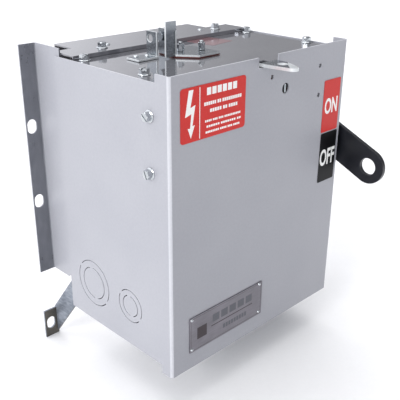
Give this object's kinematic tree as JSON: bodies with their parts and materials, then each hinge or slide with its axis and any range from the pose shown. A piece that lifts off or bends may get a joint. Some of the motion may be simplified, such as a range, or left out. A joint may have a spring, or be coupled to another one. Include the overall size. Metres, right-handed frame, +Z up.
{
  "type": "plug-in disconnect switch box",
  "caption": "Sheet-steel plug-in disconnect box with a hook-stick lever, rear mounting flanges, padlock tongue and a fusible three-pole switch inside.",
  "frame": {"origin": "on the busway face of the left mounting flange, midway between its two slots", "axes": "+Y out of the back towards the busway, +Z up along the longest side, +X to the right as seen from the front"},
  "size_m": [0.2826, 0.2798, 0.3608],
  "materials": {
    "cover_paint": "light grey baked enamel, satin",
    "plate_paint": "light grey enamel, glossy",
    "zinc": "bright zinc plate",
    "dark_zinc": "blue-grey zinc plate",
    "black_paint": "black enamel",
    "red_label": "printed film",
    "black_label": "printed film",
    "plaque": "brushed aluminium plate",
    "copper": "silver-flashed copper, worn to copper",
    "moulded": "glass-filled polyester, moulded",
    "red_board": "red glass-polyester sheet",
    "fuse_body": "glass-melamine tube with brass caps",
    "aluminium": "tin-plated aluminium"
  },
  "bodies": {
    "base": {"base_hinge_leaf": "zinc", "hinge_pin": "zinc", "side_flange_left": "cover_paint", "side_flange_right": "cover_paint", "strap_left": "dark_zinc", "strap_right": "dark_zinc", "top_plate": "plate_paint", "bottom_plate": "cover_paint", "back_panel": "cover_paint", "rear_top_plate": "plate_paint", "padlock_tongue": "zinc", "top_bracket_left": "zinc", "insulator_sheet": "red_board", "top_bracket_right": "zinc", "bracket_pin": "zinc", "top_standoff_1": "zinc", "top_standoff_2": "zinc", "switch_base": "moulded", "fuse_base": "moulded", "stab_block": "red_board", "ground_bar": "aluminium", "line_contact_a": "copper", "load_contact_a": "copper", "fuse_a": "fuse_body", "load_clip_a": "copper", "load_lug_a": "aluminium", "line_contact_b": "copper", "load_contact_b": "copper", "fuse_b": "fuse_body", "load_clip_b": "copper", "load_lug_b": "aluminium", "line_contact_c": "copper", "load_contact_c": "copper", "fuse_c": "fuse_body", "load_clip_c": "copper", "load_lug_c": "aluminium"},
    "cover": {"cover": "cover_paint", "cover_hinge_leaf": "zinc", "danger_label": "red_label", "on_label": "red_label", "off_label": "black_label", "nameplate": "plaque", "barrier_bracket": "zinc", "fuse_barrier": "red_board", "cover_screw_upper": "zinc", "cover_screw_lower": "zinc", "handle_bush": "zinc"},
    "handle": {"handle_lever": "black_paint", "handle_shaft": "dark_zinc", "handle_nut": "zinc", "interlock_cam": "dark_zinc"},
    "rotor": {"rotor_shaft": "moulded", "blade_a": "copper", "blade_b": "copper", "blade_c": "copper"},
    "interlock": {"interlock_slide": "zinc"},
    "release": {"release_screw": "zinc"}
  },
  "joints": [
    {"name": "cover_swing", "type": "hinge", "parent": "base", "child": "cover", "pos_m": [0.1323, -0.194, -0.16165], "axis": [1, 0, 0], "range_deg": [0, 95]},
    {"name": "handle_throw", "type": "hinge", "parent": "cover", "child": "handle", "pos_m": [0.2613, -0.1445, 0.03265], "axis": [-1, 0, 0], "range_deg": [0, 48]},
    {"name": "rotor_turn", "type": "hinge", "parent": "base", "child": "rotor", "pos_m": [0.1233, -0.1445, 0.03265], "axis": [-1, 0, 0], "range_deg": [0, 48.1]},
    {"name": "interlock_lift", "type": "slide", "parent": "cover", "child": "interlock", "axis": [0, 0, 1], "range_m": [0, 0.0081]},
    {"name": "release_turn", "type": "hinge", "parent": "cover", "child": "release", "pos_m": [0.1579, -0.194, 0.09015], "axis": [0, 1, 0], "range_deg": [0, 90]}
  ],
  "couplings": [
    {"joint": "rotor_turn", "follows": "handle_throw", "ratio": 1},
    {"joint": "interlock_lift", "follows": "handle_throw", "m_per_rad": 0.00955}
  ]
}
